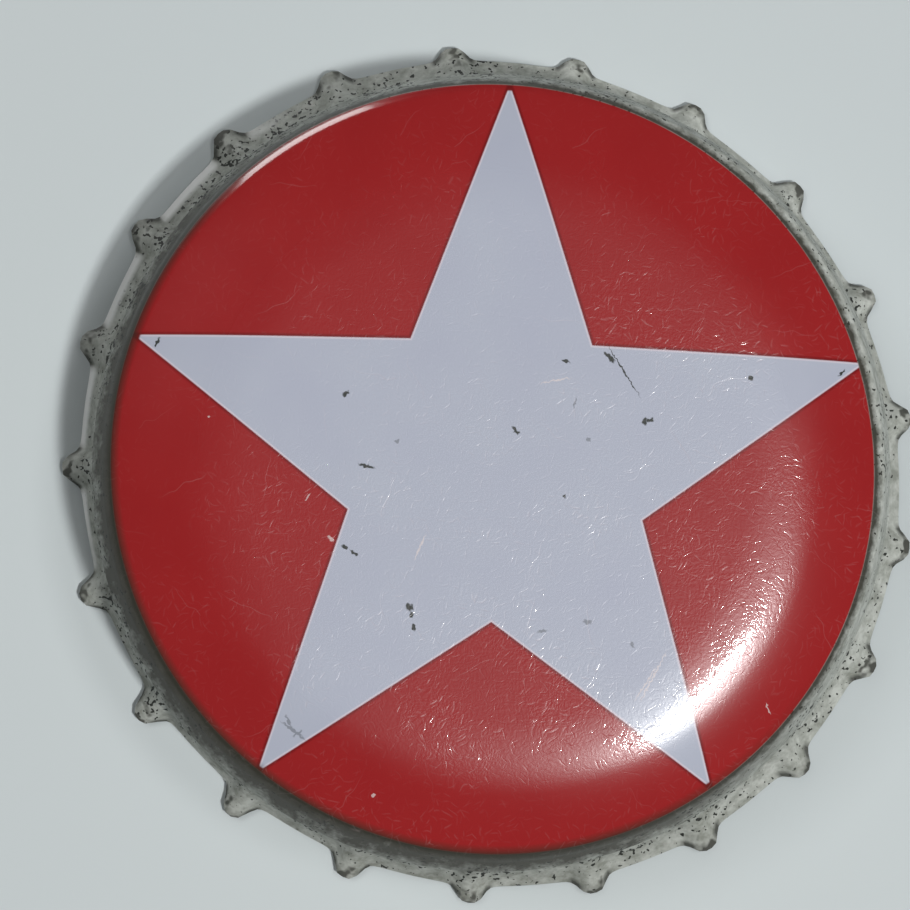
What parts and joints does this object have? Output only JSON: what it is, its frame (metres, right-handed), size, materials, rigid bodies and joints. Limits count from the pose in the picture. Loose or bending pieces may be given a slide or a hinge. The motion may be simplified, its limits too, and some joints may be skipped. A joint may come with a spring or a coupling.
{
  "type": "bottle cap",
  "caption": "Used pry-off bottle cap of pressed sheet steel: a rounded red panel with a plain pale star, a fluted and toothed skirt, and a moulded sealing liner inside.",
  "frame": {"origin": "centre of the circle that the rim stands on", "axes": "+Z out through the printed panel, so the mouth opens towards -Z; +Y towards one tip of the printed star"},
  "size_m": [0.0293, 0.0294, 0.006],
  "materials": {
    "lacquered_steel": "glossy lacquer, scratched; the skirt is pale and worn",
    "moulded_liner": "soft satin, pressed by the bottle's lip"
  },
  "bodies": {
    "root": {"pressed_steel_cap": "lacquered_steel", "sealing_liner": "moulded_liner"}
  },
  "joints": []
}
